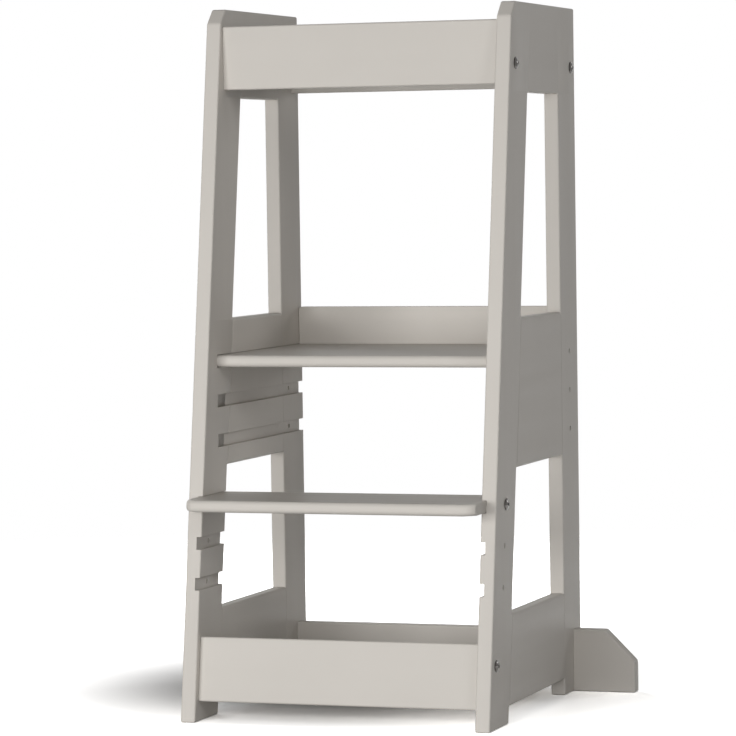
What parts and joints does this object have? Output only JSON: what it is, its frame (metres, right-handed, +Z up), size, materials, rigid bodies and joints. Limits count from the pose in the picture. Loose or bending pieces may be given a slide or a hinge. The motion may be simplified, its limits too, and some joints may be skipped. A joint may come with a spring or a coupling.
{
  "type": "learning tower",
  "caption": "Child's learning tower: raked side frames tied by rails, a standing platform with a rear guard that draws out backwards, a bolted step and outrigger feet.",
  "frame": {"origin": "floor level, in the middle of the whole tower's width and depth, the step and the outriggers included", "axes": "+Z up; -Y towards the climbing side, where the step is; +X to the right of someone who faces the step"},
  "size_m": [0.574, 0.435, 0.9],
  "materials": {
    "lacquer": "opaque satin lacquer, warm light grey, over solid wood boards",
    "shelf_lacquer": "the same lacquer with a slightly glossier coat on the platform and the step",
    "bolt_steel": "bright nickel-plated furniture bolts",
    "zinc": "zinc-plated barrel nuts, studs and screws",
    "beech": "raw beech dowels"
  },
  "bodies": {
    "tower_frame": {"front_leg_left": "lacquer", "back_leg_left": "lacquer", "top_panel_left": "lacquer", "mid_panel_left": "lacquer", "bottom_panel_left": "lacquer", "outrigger_left": "lacquer", "front_leg_right": "lacquer", "back_leg_right": "lacquer", "top_panel_right": "lacquer", "mid_panel_right": "lacquer", "bottom_panel_right": "lacquer", "outrigger_right": "lacquer", "top_rail_front": "lacquer", "top_rail_back": "lacquer", "bottom_rail_front": "lacquer", "bottom_rail_back": "lacquer", "step": "shelf_lacquer", "bolt_top_front_left": "bolt_steel", "bolt_top_back_left": "bolt_steel", "bolt_bottom_front_left": "bolt_steel", "bolt_step_left": "bolt_steel", "bolt_top_front_right": "bolt_steel", "bolt_top_back_right": "bolt_steel", "bolt_bottom_front_right": "bolt_steel", "bolt_step_right": "bolt_steel", "barrel_nut_top_front_left": "zinc", "barrel_nut_top_back_left": "zinc", "barrel_nut_bottom_front_left": "zinc", "barrel_nut_bottom_back_left": "zinc", "barrel_nut_outrigger_left": "zinc", "barrel_nut_step_left": "zinc", "barrel_nut_top_front_right": "zinc", "barrel_nut_top_back_right": "zinc", "barrel_nut_bottom_front_right": "zinc", "barrel_nut_bottom_back_right": "zinc", "barrel_nut_outrigger_right": "zinc", "barrel_nut_step_right": "zinc", "dowel_top_front_left": "beech", "dowel_top_back_left": "beech", "dowel_bottom_front_left": "beech", "dowel_top_front_right": "beech", "dowel_top_back_right": "beech", "dowel_bottom_front_right": "beech", "outrigger_dowel_left": "beech", "outrigger_dowel_right": "beech", "outrigger_stud_left": "zinc", "outrigger_stud_right": "zinc"},
    "standing_platform": {"platform": "shelf_lacquer", "platform_guard": "lacquer", "guard_screw_1": "zinc", "guard_screw_2": "zinc", "guard_screw_3": "zinc"}
  },
  "joints": [
    {"name": "platform_slide", "type": "slide", "parent": "tower_frame", "child": "standing_platform", "axis": [0, 1, 0], "range_m": [0, 0.3]}
  ]
}
